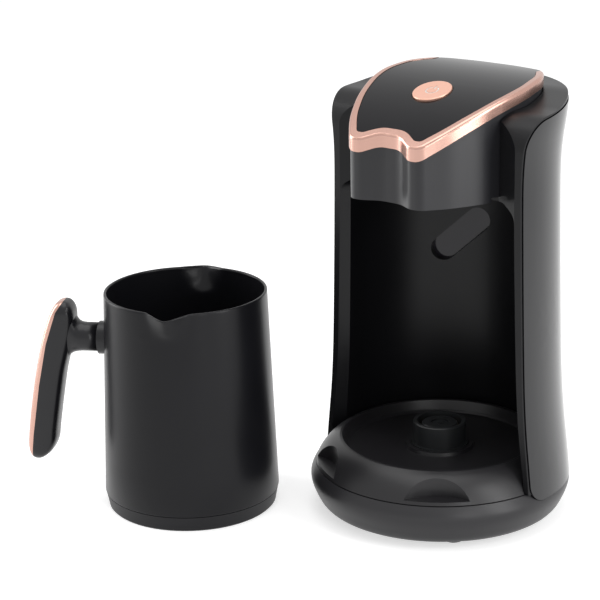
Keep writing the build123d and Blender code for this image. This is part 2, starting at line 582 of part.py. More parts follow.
def make_sensor_window():
    """Smoked window that fills the seat behind the pocket."""
    pane = sensor_shape(SENSOR_W + 2 - 2 * FIT, SENSOR_L + 2 - 2 * FIT, SENSOR_DEPTH, SENSOR_DEPTH + SENSOR_WINDOW_T)
    return pane


def make_sensor_board():
    """Small board behind the window with its emitter and receiver facing the pot."""
    front = SENSOR_DEPTH + SENSOR_WINDOW_T
    return sensor_shape(SENSOR_W, SENSOR_L - 6, front, front + SENSOR_BOARD_T)


def make_column_skin():
    return (column(0) - column(SKIN_T)) & side_slab(skin_side())


# ================================================================ head pieces
def make_head_housing():
    """Deep walled box under the sloping trim; its rear stands inside the column's top."""
    outside = prism(head_outline(), BAY_TOP_Z, BIG)
    plate_low = TRIM_H - TOP_PLATE_DROP - TOP_PLATE_T
    rear = block(-TRIM_END_X + GAP, TRIM_END_X - GAP, TRIM_END_Y + GAP, BIG, 0, BIG)
    box = (outside & arch(0)) + (outside & rear & arch(plate_low))
    box = box - prism(head_outline(-WALL), BAY_TOP_Z - 1, BIG + 1)
    ceiling = BAY_TOP_Z + CEILING_T
    box = box - block(-BIG, BIG, ARM_FRONT_Y + WALL - GAP, BIG, 0, ceiling)
    inner = prism(head_outline(-WALL / 2), ceiling, BIG)
    for x, y in HEAD_BOSSES:
        box = box + (rod(BOSS_R, ceiling, ceiling + 10, x, y) & inner)
        box = box - rod(SCREW_HOLE_R, ceiling, ceiling + 8, x, y)
    for x, y in UNDERSIDE_BOSSES:
        box = box + (rod(BOSS_R, underside_top_z(), ceiling + 12, x, y) & inner)
        box = box - rod(SCREW_HOLE_R, 0, ceiling + 8, x, y)
    x = loom_point(0, LOOM_PATH[-1][0])[0]
    return box - block(x - LOOM_WINDOW, x + LOOM_WINDOW, 0, BIG, LOOM_HEAD_Z - LOOM_WINDOW / 2, LOOM_HEAD_Z + LOOM_WINDOW / 2)


def underside_top_z():
    return BAY_TOP_Z + GAP + WALL


def make_head_underside():
    """Cover that closes the overhanging part of the head from below."""
    cover = prism(head_outline(-WALL - GAP), BAY_TOP_Z + GAP, underside_top_z())
    cover = cover - block(-BIG, BIG, ARM_FRONT_Y + WALL - GAP, BIG, 0, BIG)
    for x, y in UNDERSIDE_BOSSES:
        cover = cover - rod(SCREW_HOLE_R, 0, BIG, x, y)
        cover = cover - rod(SCREW_HEAD_R + FIT, 0, BAY_TOP_Z + GAP + 1.0, x, y)
    return cover


def make_trim_ring():
    """Metal-look band along the front and sides, with a rounded edge and a ledge for the top plate."""
    ring = prism(head_outline(TRIM_PROUD), BAY_TOP_Z, BIG) & arch_slab(0, TRIM_H)
    rim = [e for e in ring.edges() if abs(crest_distance(e @ 0.5)) < 0.01]
    ring = fillet(rim, TRIM_EDGE_R)
    inner = prism(head_outline(TRIM_PROUD - TRIM_W - TRIM_LEDGE), 0, BIG)
    seat = prism(head_outline(TRIM_PROUD - TRIM_W), 0, BIG) & arch_slab(
        TRIM_H - TOP_PLATE_DROP - TOP_PLATE_T, TRIM_H + TRIM_EDGE_R)
    rear = block(-TRIM_END_X, TRIM_END_X, TRIM_END_Y, BIG, 0, BIG)
    return ring - inner - seat - rear


def crest_distance(point):
    """How far a point stands off the arched top."""
    return hypot(point.Y - DOME_Y, point.Z - DOME_TOP_Z + DOME_R) - DOME_R


def button_at(shape):
    """Put a shape drawn about the button's axis (0 = top of the trim) in its place."""
    return button_plane(0).location * shape


def board_top_w():
    return -BUTTON_BOARD_DROP


def make_top_plate():
    """Gloss plate in the trim, bowed at the rear, with posts for the button board."""
    low, high = TRIM_H - TOP_PLATE_DROP - TOP_PLATE_T, TRIM_H - TOP_PLATE_DROP
    inset = prism(head_outline(TRIM_PROUD - TRIM_W - GAP), BAY_TOP_Z, BIG)
    rear = prism(head_outline(0), BAY_TOP_Z, BIG) & block(
        -TRIM_END_X + GAP, TRIM_END_X - GAP, TRIM_END_Y + GAP, BIG, 0, BIG)
    plate = inset + rear - above_arch(high) - arch(low)
    plate = plate - button_at(rod(BUTTON_R + BUTTON_GAP, -20, 20))
    for x, y in POSTS:
        post = rod(POST_R, board_top_w(), -TOP_PLATE_DROP - TOP_PLATE_T, x, y)
        plate = plate + button_at(post) - button_at(rod(0.9, board_top_w(), -TOP_PLATE_DROP - TOP_PLATE_T - 1, x, y))
    return plate


def flange_top_w():
    """The button's flange runs under the plate's lower face, which falls away from the button."""
    return -TOP_PLATE_DROP - TOP_PLATE_T - (BUTTON_R + BUTTON_SKIRT)**2 / (2 * DOME_R) - 0.1


POSTS = [(x, y) for x in (-POST_X, POST_X) for y in (-POST_Y, POST_Y)]
LOOM_HEADER = (7.5, 15.5, 12.0, 17.0)    # the loom's connector under the button board
LOOM_HEADER_H = 4.5


def make_power_button():
    """Round cap with a sunk power sign, a retaining flange and a stem."""
    under = flange_top_w()
    cap = rod(BUTTON_R, under, BUTTON_PROUD)
    cap = fillet(cap.edges().group_by(Axis.Z)[-1], 0.5)
    cap = cap + rod(BUTTON_R + BUTTON_SKIRT, under - BUTTON_FLANGE_T, under)
    cap = cap + rod(2.4, button_stem_w(), under)
    sign = tube(3.7, 2.9, BUTTON_PROUD - 0.25, BUTTON_PROUD + 1)
    sign = sign - block(-1.5, 1.5, 0, 9, -9, 9)
    sign = sign + block(-0.4, 0.4, 1.2, 4.6, BUTTON_PROUD - 0.25, BUTTON_PROUD + 1)
    return button_at(cap - sign)


def button_stem_w():
    """End of the stem, which rests on the switch's plunger."""
    return board_top_w() + SWITCH_H + 1.4


def make_button_board():
    """Board with the indicator lights round the button and the wires' connector beneath."""
    t, top = BOARD_T, board_top_w()
    board = block(-BUTTON_BOARD_X / 2, BUTTON_BOARD_X / 2, -BUTTON_BOARD_Y / 2, BUTTON_BOARD_Y / 2, top - t, top)
    for x, y in POSTS:
        board = board - rod(1.1, top - t - 1, top + 1, x, y)
    for x in (-14, 14):
        board = board + block(x - 1.2, x + 1.2, -1.2, 1.2, top, top + 1.2)
    board = board + block(*LOOM_HEADER, top - t - LOOM_HEADER_H, top - t)
    return button_at(board)


def make_button_switch():
    """Push switch under the button's stem, bored for its plunger."""
    top = board_top_w() + SWITCH_H
    body = block(-SWITCH_W / 2, SWITCH_W / 2, -SWITCH_W / 2, SWITCH_W / 2, board_top_w(), top)
    return button_at(body - rod(SWITCH_PLUNGER_R + FIT, board_top_w() + 0.8, top + 1))


def make_switch_plunger():
    top = button_stem_w() - FIT
    foot = board_top_w() + 0.8 + BUTTON_TRAVEL + 0.3
    return button_at(rod(SWITCH_PLUNGER_R, foot, top))


def make_button_spring():
    return button_at(coil(7.2, 0.35, board_top_w() + FIT, flange_top_w() - BUTTON_FLANGE_T - FIT, 3.5))


# ================================================================ electrics
def make_main_board():
    """Power board on posts in the base, with its terminals and the header for the head's wires."""
    x0, x1, y0, y1 = MAIN_BOARD
    z = MAIN_BOARD_Z
    board = block(x0, x1, y0, y1, z, z + BOARD_T)
    for x, y in BOARD_POSTS:
        board = board - rod(1.1, z - 1, z + BOARD_T + 1, x, y)
    board = board + block(-7, 7, y1 - 9, y1 - 1, z + BOARD_T, z + BOARD_T + 7)
    board = board + block(*header_x(), y1 - 8, y1 - 2, z + BOARD_T, z + BOARD_T + 5)
    return board + block(-8, 8, y0 + 1, y0 + 6, z + BOARD_T, z + BOARD_T + 5)


def header_x():
    """The loom's header on the power board, straight in front of the passage."""
    middle = loom_point(0, LOOM_PATH[0][0])[0]
    return middle - 5.0, middle + 5.0


def make_power_parts():
    """Relay, transformer and capacitor of the power board."""
    top = MAIN_BOARD_Z + BOARD_T
    y0 = MAIN_BOARD[2] + RELAY_BACK
    relay = block(RELAY_X, RELAY_X + RELAY_W, y0, y0 + RELAY_D, top, top + RELAY_H)
    core = block(CORE_X, CORE_X + CORE_W, y0, y0 + RELAY_D, top, top + CORE_H)
    window = CORE_W / 6
    core = core - block(CORE_X + window, CORE_X + CORE_W - window, y0 - 1, y0 + window, top + 2, top + CORE_H - 2)
    can = rod(CAN_R, top, top + CAN_H, CAN_X, y0 + CAN_R)
    return joined([relay, core, can])


def make_buzzer():
    """Sounder on the button board."""
    top = board_top_w()
    return button_at(rod(BUZZER_R, top, top + BUZZER_H, 0, BUZZER_Y) - rod(1.0, top + 3, top + BUZZER_H + 1, 0, BUZZER_Y))


def wire(points, radius):
    """One insulated wire along straight runs joined by arcs."""
    path = FilletPolyline(*points, radius=radius)
    return sweep(Plane(path @ 0, z_dir=path % 0) * Circle(WIRE_R), path)


def make_wiring_loom():
    """Wires from the power board up the back of the column to the button board."""
    z0 = MAIN_BOARD_Z + BOARD_T + 5 + FIT
    y0 = MAIN_BOARD[3] - 5
    bend_z = (z0 + DECK_Z) / 2
    under = button_plane(-BUTTON_BOARD_DROP - BOARD_T - LOOM_HEADER_H)
    tip = under.origin + under.y_dir * (LOOM_HEADER[2] + LOOM_HEADER[3]) / 2
    tip_z = tip.Z - WIRE_R * button_lean() - FIT
    tip_x = (LOOM_HEADER[0] + LOOM_HEADER[1]) / 2
    wires = []
    for lane in (-LOOM_PITCH / 2, LOOM_PITCH / 2):
        rise = [(*loom_point(lane, r), z) for r, z in LOOM_PATH]
        foot, top = rise[0], rise[-1]
        wires.append(wire(
            [(foot[0], y0, z0), (foot[0], y0, bend_z), (foot[0], foot[1], bend_z), *rise, (*top[:2], LOOM_HEAD_Z),
             (tip_x + lane, tip.Y, LOOM_HEAD_Z), (tip_x + lane, tip.Y, tip_z)], 3.0))
    return joined(wires)


def make_connector_leads():
    """Leads from the connector's blades to the power board."""
    z = CONNECTOR_TAIL_Z - 2.5
    blades = ring_points(3, CONNECTOR_TAIL_R - 4.5, 0)
    y1 = MAIN_BOARD[2] + 1 - FIT
    return joined([Pos(x, (y + 2.4 + FIT + y1) / 2, z) * Rot(90, 0, 0) * Cylinder(1.1, y1 - y - 2.4 - FIT)
                   for x, y in (blades[0], blades[1])])


def make_cord_gland():
    """Flanged bush that lines the cord's way out at the back."""
    seat = gland_seat_y()
    bush = rod(GLAND_R, -GLAND_FLANGE_T, BASE_WIDE_R + 0.1 - seat)
    bush = bush + rod(GLAND_FLANGE_R, -GLAND_FLANGE_T, 0) - rod(GLAND_BORE_R, -20, 40)
    return Pos(0, seat, GLAND_Z) * Rot(-90, 0, 0) * bush


# ================================================================ fasteners of the machine
def make_base_screws():
    return joined([screw(x, y, FOOT_H + 1.0, 12) for x, y in ring_points(BASE_BOSSES, BASE_BOSS_PITCH_R, 30)])


def make_column_screws():
    return joined([screw(*polar(column_screw_r(), az), DECK_Z - WALL, 10) for az in COLUMN_SCREW_AZ])


def make_connector_screws():
    top = DECK_Z + CONNECTOR_FLANGE_T
    return joined([screw(x, y, top, CONNECTOR_FLANGE_T + WALL + 3, up=False)
                   for x, y in ring_points(3, CONNECTOR_SCREW_PITCH_R, 90)])


def make_head_screws():
    heads = [screw(x, y, BAY_TOP_Z + 1.2, CEILING_T + 5.5) for x, y in HEAD_BOSSES]
    return joined(heads + [screw(x, y, BAY_TOP_Z + GAP + 1.0, WALL + 5.5) for x, y in UNDERSIDE_BOSSES])


def make_board_screws():
    tiny = []
    for x, y in BOARD_POSTS:
        z = MAIN_BOARD_Z + BOARD_T
        tiny.append(rod(0.95, z - 4, z, x, y) + rod(1.9, z, z + 1.2, x, y))
    for x, y in POSTS:
        w = board_top_w() - BOARD_T
        tiny.append(button_at(rod(0.85, w, w + 5, x, y) + rod(1.9, w - 1.2, w, x, y)))
    return joined(tiny)


# ================================================================ pot (axis on Z, handle towards +X)
def spout(inset=0.0):
    """Pinched pouring lip towards +Y: a pointed bulge that fades into the wall below the rim."""
    sections = []
    for drop, half_w, share in SPOUT_LEVELS:
        wall = pot_wall_r(POT_H - drop)
        tip = wall + share * (SPOUT_TIP_R - POT_RIM_R) - inset
        half, root = half_w - inset, sqrt((wall - inset) ** 2 - (half_w - inset) ** 2) - 0.2
        face = make_face(Polyline((-half, 34), (half, 34), (half, root), (0, tip), (-half, root), close=True))
        nose = fillet(face.vertices().sort_by(Axis.Y)[-1], SPOUT_NOSE_R)
        sections.append(Pos(0, 0, POT_H - drop) * nose)
    return loft(sections)


def pot_shape(inset=0.0):
    """Outside of the pot from the seam to the rim, with both spouts."""
    body = turned(((0, POT_SEAM_Z), (POT_SEAM_R - inset, POT_SEAM_Z), (POT_RIM_R - inset, POT_H), (0, POT_H)))
    return body + spout(inset) + Rot(0, 0, 180) * spout(inset)


def make_pot_body():
    floor_top = POT_FLOOR_Z + POT_FLOOR_T
    shell = pot_shape()
    inside = pot_shape(POT_WALL)
    drink = inside & block(-BIG, BIG, -BIG, BIG, floor_top, BIG)
    drink = chamfer(drink.edges().group_by(Axis.Z)[0], 2.0)
    under = inside & block(-BIG, BIG, -BIG, BIG, 0, POT_FLOOR_Z)
    shell = shell - drink - under
    stud_x = pot_wall_r(STUB_Z) + STUD_LEN
    stud = rod(STUD_R, 0, BIG / 4)
    stud = Pos(0, 0, STUB_Z) * Rot(0, 90, 0) * stud
    stud = (stud & block(0, stud_x, -9, 9, 0, BIG)) - pot_shape(POT_WALL / 2)
    shell = shell + stud
    thread = Pos(0, 0, STUB_Z) * Rot(0, 90, 0) * rod(HANDLE_SCREW_R + FIT, pot_wall_r(STUB_Z) - 0.2, BIG / 4)
    return shell - thread


def pot_wall_r(z):
    """Outside radius of the pot's wall at a height."""
    return POT_SEAM_R + (POT_RIM_R - POT_SEAM_R) * (z - POT_SEAM_Z) / (POT_H - POT_SEAM_Z)


def lip_r():
    return POT_SEAM_R - POT_WALL - 0.45


def make_pot_base_ring():
    lip, bore = lip_r(), POT_FOOT_R - 2.6
    seam = POT_SEAM_Z - GAP
    shelf = bore - POT_SHELF_W
    ring = turned((
        (bore, 0), (POT_FOOT_R - 0.8, 0), (POT_FOOT_R, 0.8), (POT_SEAM_R - 0.35, seam), (lip, seam),
        (lip, POT_SEAM_Z + POT_RING_LIP), (bore + 0.6, POT_SEAM_Z + POT_RING_LIP), (bore + 0.6, POT_SHELF_Z + 2.0),
        (shelf, POT_SHELF_Z + 2.0), (shelf, POT_SHELF_Z), (bore, POT_SHELF_Z),
    ))
    for x, y in ring_points(POT_SCREW_COUNT, bore - POT_SHELF_W, 20):
        ring = ring + rod(BOSS_R, POT_SHELF_Z, POT_SHELF_Z + 7, x, y)
        ring = ring - rod(SCREW_HOLE_R, 0, POT_SHELF_Z + 6, x, y)
    return ring


def socket_r():
    """Inside radius of the pot's connector skirt, which drops over the base's boss."""
    return BOSS_OUT_R + SOCKET_CLEAR


def socket_top_z():
    """Roof of the pot's connector, above the boss when the pot stands in the well."""
    return BOSS_TOP_Z - WELL_FLOOR_Z + 0.9


def make_pot_cover():
    low = POT_SHELF_Z - POT_COVER_T
    cover = rod(POT_FOOT_R - 2.6 - GAP, low, POT_SHELF_Z) - rod(socket_r() + SOCKET_WALL + GAP, 0, 10)
    for x, y in ring_points(POT_SCREW_COUNT, POT_FOOT_R - 2.6 - POT_SHELF_W, 20):
        cover = cover - rod(SCREW_HOLE_R, 0, 10, x, y)
    return cover


def make_pot_screws():
    low = POT_SHELF_Z - POT_COVER_T
    return joined([screw(x, y, low, POT_COVER_T + 5)
                   for x, y in ring_points(POT_SCREW_COUNT, POT_FOOT_R - 2.6 - POT_SHELF_W, 20)])


def make_pot_seal():
    outer = socket_r() + SOCKET_WALL
    return tube(outer + 4.2, outer + FIT, POT_SHELF_Z, POT_SHELF_Z + 1.0)


def make_pot_socket():
    """Skirt, roof and centre post of the pot's half of the connector."""
    bore, outer, roof = socket_r(), socket_r() + SOCKET_WALL, socket_top_z()
    post_z = (BOSS_TOP_Z - PLUNGER_DROP - WELL_FLOOR_Z) - PLUNGER_TRAVEL + 0.9
    lift = COLLAR_Z - WELL_FLOOR_Z + 0.6
    flange = POT_SHELF_Z + 1.0
    return turned((
        (bore, lift), (outer, lift), (outer, flange), (outer + 4.4, flange), (outer + 4.4, flange + 2),
        (outer, flange + 2), (outer, roof + SOCKET_TOP_T), (0, roof + SOCKET_TOP_T), (0, post_z), (3, post_z),
        (3, roof), (bore, roof),
    ))


def make_pot_contact():
    """Ring contact that enters the annular slot of the base's connector."""
    middle = (BOSS_OUT_R - BOSS_WALL + SLEEVE_R) / 2
    low = SLOT_FLOOR_Z - WELL_FLOOR_Z + 0.5
    return tube(middle + SOCKET_RING_W / 2, middle - SOCKET_RING_W / 2, low, socket_top_z())


def make_pot_heater():
    """Spreader plate brazed under the floor, with the sheathed ring element and its pins."""
    low = POT_FLOOR_Z - HEATER_T
    disc = rod(HEATER_R, low, POT_FLOOR_Z)
    element = tube(ELEMENT_PITCH_R + ELEMENT_W / 2, ELEMENT_PITCH_R - ELEMENT_W / 2, low - ELEMENT_H, low)
    pins = rod(1.2, low - ELEMENT_H - 4.5, low, -ELEMENT_PITCH_R, 4) + rod(
        1.2, low - ELEMENT_H - 4.5, low, -ELEMENT_PITCH_R, -4)
    return disc + element + pins


def make_pot_thermostat():
    return rod(THERMOSTAT_R, socket_top_z() + SOCKET_TOP_T, POT_FLOOR_Z - HEATER_T)


def make_pot_leads():
    """Leads between the pot's connector and the heater's pins."""
    z = POT_FLOOR_Z - HEATER_T - ELEMENT_H - 3
    x0, x1 = -ELEMENT_PITCH_R + 1.2 + FIT, -sqrt((socket_r() + SOCKET_WALL) ** 2 - 16) - 0.4
    return joined([Pos((x0 + x1) / 2, y, z) * Rot(0, 90, 0) * Cylinder(0.9, x1 - x0) for y in (4, -4)])


# ================================================================ handle
def make_handle_collar():
    x0, x1 = pot_wall_r(STUB_Z) - 3, pot_wall_r(STUB_Z) + COLLAR_W
    ring = rod(STUB_R + COLLAR_EXTRA, x0, x1) - rod(STUD_R + GAP, 0, 90)
    return (Pos(0, 0, STUB_Z) * Rot(0, 90, 0) * ring) - pot_shape(-FIT)


def grip_bar():
    """Rounded bar that follows the grip, deeper where it meets the stub."""
    foot, tip = Vector(*GRIP_BACK[-1], 0), Vector(*GRIP_BACK[0], 0)
    along = (tip - foot).normalized()
    sections = []
    for rise, depth in GRIP_DEPTHS:
        centre_u = (10.0 - depth) / 2
        x = foot.X + along.X * rise + along.Y * centre_u
        z = foot.Y + along.Y * rise - along.X * centre_u
        plane = Plane((x, 0, z), x_dir=(along.Y, 0, -along.X), z_dir=(along.X, 0, along.Y))
        sections.append(plane * RectangleRounded(depth + 10.0, 2 * GRIP_HALF_W, GRIP_ROUND))
    return loft(sections)


def handle_front(inset):
    """Front view of the handle, with rounded ends, carried along X."""
    z0, z1 = GRIP_LOW_Z + inset, GRIP_HIGH_Z - inset
    face = RectangleRounded(2 * (GRIP_HALF_W - inset), z1 - z0, GRIP_END_R)
    return extrude(Plane.YZ.offset(50) * Pos(0, (z0 + z1) / 2) * face, 60)


def grip_side():
    """Side view of the grip: its back, its rounded foot and the hump over the stub."""
    back = Spline(*GRIP_BACK)
    foot = ThreePointArc(*GRIP_FOOT)
    edge = FilletPolyline(*GRIP_HUMP, radius=GRIP_HUMP_R)
    return make_face(back + Line(GRIP_BACK[-1], GRIP_FOOT[0]) + foot
                     + Polyline(GRIP_FOOT[-1], (GRIP_FOOT[-1][0], 34), (52, 34), GRIP_HUMP[0])
                     + edge + Line(GRIP_HUMP[-1], GRIP_BACK[0]))


def make_handle_grip():
    body = grip_bar() & extrude(Plane.XZ * grip_side(), GRIP_HALF_W + 1, both=True) & handle_front(0)
    axis = Pos(0, 0, STUB_Z) * Rot(0, 90, 0)
    x0 = pot_wall_r(STUB_Z) + COLLAR_W + FIT
    body = body + axis * rod(STUB_R, x0, STUB_END_X)
    body = body - axis * rod(STUD_R + GAP, 0, pot_wall_r(STUB_Z) + STUD_LEN + GAP)
    body = body - axis * rod(HANDLE_SCREW_R + FIT, 0, 120)
    return body - axis * rod(HANDLE_SCREW_R * 2 + GAP, handle_screw_seat(), 120)


def handle_screw_seat():
    return STUB_END_X - 2.0


def make_handle_screw():
    seat = handle_screw_seat()
    shank = rod(HANDLE_SCREW_R, pot_wall_r(STUB_Z) + 0.2, seat)
    head = rod(HANDLE_SCREW_R * 2, seat, seat + 2.2)
    cross = Pos(0, 0, seat + 2.2) * Box(5, 0.8, 1.6)
    return Pos(0, 0, STUB_Z) * Rot(0, 90, 0) * (shank + head - cross - cross.rotate(Axis.Z, 90))


def make_handle_trim():
    """Metal-look strip along the back of the grip, thinning to both ends."""
    back = Spline(*GRIP_BACK)
    front = Spline(*TRIM_FRONT)
    face = make_face(front + Line(TRIM_FRONT[-1], GRIP_BACK[-1]) + back + Line(GRIP_BACK[0], TRIM_FRONT[0]))
    strip = extrude(Plane.XZ * face, GRIP_HALF_W, both=True) & handle_front(0.4)
    return Pos(FIT, 0, 0) * strip


# ================================================================ output
def save(node, shape, place):
    """Write one node, moved from its own axis to its place in the pair."""
    export_step(place * shape, f"parts/{node}.step")


MACHINE = Pos(MACHINE_X, MACHINE_Y, 0)
POT = Pos(POT_X, POT_Y, 0) * Rot(0, 0, POT_TURN)

MACHINE_NODES = {
    "base_housing": make_base_housing,
    "base_plate": make_base_plate,
    "rubber_feet": make_feet,
    "base_screws": make_base_screws,
    "well_tray": make_well_tray,
    "connector_base": make_connector_base,
    "connector_contacts": make_contacts,
    "connector_seal": make_connector_seal,
    "connector_plunger": make_plunger,
    "plunger_spring": make_plunger_spring,
    "connector_screws": make_connector_screws,
    "connector_leads": make_connector_leads,
    "column_frame": make_column_frame,
    "column_skin": make_column_skin,
    "column_screws": make_column_screws,
    "head_housing": make_head_housing,
    "head_underside": make_head_underside,
    "head_screws": make_head_screws,
    "trim_ring": make_trim_ring,
    "top_plate": make_top_plate,
    "power_button": make_power_button,
    "button_spring": make_button_spring,
    "button_switch": make_button_switch,
    "switch_plunger": make_switch_plunger,
    "button_board": make_button_board,
    "buzzer": make_buzzer,
    "board_screws": make_board_screws,
    "sensor_window": make_sensor_window,
    "sensor_board": make_sensor_board,
    "main_board": make_main_board,
    "power_parts": make_power_parts,
    "wiring_loom": make_wiring_loom,
    "cord_gland": make_cord_gland,
}
POT_NODES = {
    "pot_body": make_pot_body,
    "pot_base_ring": make_pot_base_ring,
    "pot_bottom_cover": make_pot_cover,
    "pot_screws": make_pot_screws,
    "pot_seal": make_pot_seal,
    "pot_connector": make_pot_socket,
    "pot_contact_ring": make_pot_contact,
    "pot_heater": make_pot_heater,
    "pot_thermostat": make_pot_thermostat,
    "pot_leads": make_pot_leads,
    "handle_collar": make_handle_collar,
    "handle_grip": make_handle_grip,
    "handle_trim": make_handle_trim,
    "handle_screw": make_handle_screw,
}

for nodes, place in ((MACHINE_NODES, MACHINE), (POT_NODES, POT)):
    for node, make in nodes.items():
        save(node, make(), place)
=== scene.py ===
# %% [markdown]
# # An electric turkish coffee maker
# The solids come first and stay fixed: the machine on its round base, and the pot beside it.
# Blender gives them their finishes, a few finer pieces, a studio and a camera.

# %% Load the solids
import json
from math import copysign, cos, pi, radians, sin, sqrt

import bmesh
import bpy
from mathutils import Matrix, Quaternion, Vector


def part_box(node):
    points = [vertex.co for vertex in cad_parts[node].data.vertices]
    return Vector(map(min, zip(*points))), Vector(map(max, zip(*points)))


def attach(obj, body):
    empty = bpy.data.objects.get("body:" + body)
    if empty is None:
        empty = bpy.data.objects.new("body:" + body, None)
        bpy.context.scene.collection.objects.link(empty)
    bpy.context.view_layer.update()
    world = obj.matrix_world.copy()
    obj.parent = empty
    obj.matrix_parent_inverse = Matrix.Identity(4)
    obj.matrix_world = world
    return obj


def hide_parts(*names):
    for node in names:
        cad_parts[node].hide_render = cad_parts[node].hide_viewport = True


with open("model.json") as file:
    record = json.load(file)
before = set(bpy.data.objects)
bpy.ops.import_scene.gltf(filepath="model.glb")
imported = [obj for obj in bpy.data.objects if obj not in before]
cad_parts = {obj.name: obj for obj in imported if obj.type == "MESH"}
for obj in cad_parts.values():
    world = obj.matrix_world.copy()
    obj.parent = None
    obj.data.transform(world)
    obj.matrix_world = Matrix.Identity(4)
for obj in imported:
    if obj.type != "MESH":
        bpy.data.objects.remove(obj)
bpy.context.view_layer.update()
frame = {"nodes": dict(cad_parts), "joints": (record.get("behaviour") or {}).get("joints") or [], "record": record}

nodes = frame["nodes"]

# %% [markdown]
# ## Where things stand
# Every later piece is placed from the solids, so the two axes are measured here once. The
# machine's axis is the middle of its round base housing. The pot's axis is the middle of its
# base ring. The handle leaves the pot towards the handle's collar.

# %% The two axes
def middle(node):
    low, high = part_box(node)
    return (low + high) / 2


machine_axis = middle("base_housing")
machine_axis.z = 0.0
pot_axis = middle("pot_base_ring")
pot_axis.z = 0.0
to_handle = middle("handle_collar") - pot_axis
to_handle.z = 0.0
handle_turn = -Vector((1, 0)).angle_signed(to_handle.xy.normalized())
print("machine axis:", machine_axis, "pot axis:", pot_axis, "handle heading:", handle_turn)

# %% [markdown]
# ## Camera
# A product shot of a small appliance is taken from about a metre away with a long lens, so
# that upright walls stay upright. The camera looks down a little and sees the front and the
# right side of the machine.

# %% Place the camera
CAMERA_FROM_MACHINE = Vector((0.6085, -0.8133, 0.43696))
LOOK_ALONG = Vector((-0.6561, 0.7547, 0.0))
LOOK_DOWN = radians(17.52)
CAMERA_ROLL = -0.01958
LENS_MM, SENSOR_MM = 120.0, 36.0

camera_data = bpy.data.cameras.new("camera")
camera_data.lens = LENS_MM
camera_data.sensor_width = SENSOR_MM
camera_data.clip_start = 0.05
camera = bpy.data.objects.new("camera", camera_data)
bpy.context.scene.collection.objects.link(camera)
look = LOOK_ALONG.normalized() * cos(LOOK_DOWN) - Vector((0, 0, sin(LOOK_DOWN)))
turn = look.to_track_quat("-Z", "Y") @ Quaternion((0, 0, 1), CAMERA_ROLL)
camera.matrix_world = Matrix.Translation(machine_axis + CAMERA_FROM_MACHINE) @ turn.to_matrix().to_4x4()
bpy.context.scene.camera = camera
print("camera at:", camera.location, "looking along:", look)

# %% [markdown]
# ## Two effects that many finishes share
# Moulded plastic is never a perfect mirror: the mould leaves a fine grain, and the shine
# changes slowly over a face. Both are noise on the object's own coordinates. They are built
# once as a node group, and each material sets its own scale and strength.

# %% Node group: the grain of a mould
def new_group(name, inputs, outputs):
    group = bpy.data.node_groups.new(name, "ShaderNodeTree")
    for label, kind, value in inputs:
        socket = group.interface.new_socket(label, in_out="INPUT", socket_type=kind)
        socket.default_value = value
    for label, kind in outputs:
        group.interface.new_socket(label, in_out="OUTPUT", socket_type=kind)
    entry = group.nodes.new("NodeGroupInput")
    leave = group.nodes.new("NodeGroupOutput")
    return group, entry, leave


def moulded_grain_group():
    group, entry, leave = new_group(
        "moulded_grain",
        [("Grain Scale", "NodeSocketFloat", 1500.0), ("Cloud Scale", "NodeSocketFloat", 22.0),
         ("Roughness", "NodeSocketFloat", 0.4), ("Spread", "NodeSocketFloat", 0.06)],
        [("Roughness", "NodeSocketFloat"), ("Height", "NodeSocketFloat")])
    links = group.links
    place = group.nodes.new("ShaderNodeTexCoord")
    grain = group.nodes.new("ShaderNodeTexNoise")
    grain.inputs["Detail"].default_value = 2.0
    cloud = group.nodes.new("ShaderNodeTexNoise")
    cloud.inputs["Detail"].default_value = 4.0
    for texture, scale in ((grain, "Grain Scale"), (cloud, "Cloud Scale")):
        links.new(place.outputs["Object"], texture.inputs["Vector"])
        links.new(entry.outputs[scale], texture.inputs["Scale"])
    centred = group.nodes.new("ShaderNodeMath")
    centred.operation = "SUBTRACT"
    centred.inputs[1].default_value = 0.5
    links.new(cloud.outputs["Fac"], centred.inputs[0])
    rough = group.nodes.new("ShaderNodeMath")
    rough.operation = "MULTIPLY_ADD"
    links.new(centred.outputs[0], rough.inputs[0])
    links.new(entry.outputs["Spread"], rough.inputs[1])
    links.new(entry.outputs["Roughness"], rough.inputs[2])
    links.new(rough.outputs[0], leave.inputs["Roughness"])
    links.new(grain.outputs["Fac"], leave.inputs["Height"])
    return group


MOULDED_GRAIN = moulded_grain_group()
print("effect:", MOULDED_GRAIN.name)

# %% [markdown]
# The colour of a moulding or a coating also drifts a little. This group mixes two close
# colours by a slow cloud.

# %% Node group: slow drift of a colour
def colour_drift_group():
    group, entry, leave = new_group(
        "colour_drift",
        [("Colour", "NodeSocketColor", (0.5, 0.5, 0.5, 1)),
         ("Second Colour", "NodeSocketColor", (0.4, 0.4, 0.4, 1)),
         ("Scale", "NodeSocketFloat", 30.0), ("Amount", "NodeSocketFloat", 1.0)],
        [("Colour", "NodeSocketColor")])
    place = group.nodes.new("ShaderNodeTexCoord")
    cloud = group.nodes.new("ShaderNodeTexNoise")
    cloud.inputs["Detail"].default_value = 5.0
    weigh = group.nodes.new("ShaderNodeMath")
    weigh.operation = "MULTIPLY"
    mix = group.nodes.new("ShaderNodeMix")
    mix.data_type = "RGBA"
    links = group.links
    links.new(place.outputs["Object"], cloud.inputs["Vector"])
    links.new(entry.outputs["Scale"], cloud.inputs["Scale"])
    links.new(cloud.outputs["Fac"], weigh.inputs[0])
    links.new(entry.outputs["Amount"], weigh.inputs[1])
    links.new(weigh.outputs[0], mix.inputs["Factor"])
    links.new(entry.outputs["Colour"], mix.inputs["A"])
    links.new(entry.outputs["Second Colour"], mix.inputs["B"])
    links.new(mix.outputs["Result"], leave.inputs["Colour"])
    return group


COLOUR_DRIFT = colour_drift_group()
print("effect:", COLOUR_DRIFT.name)

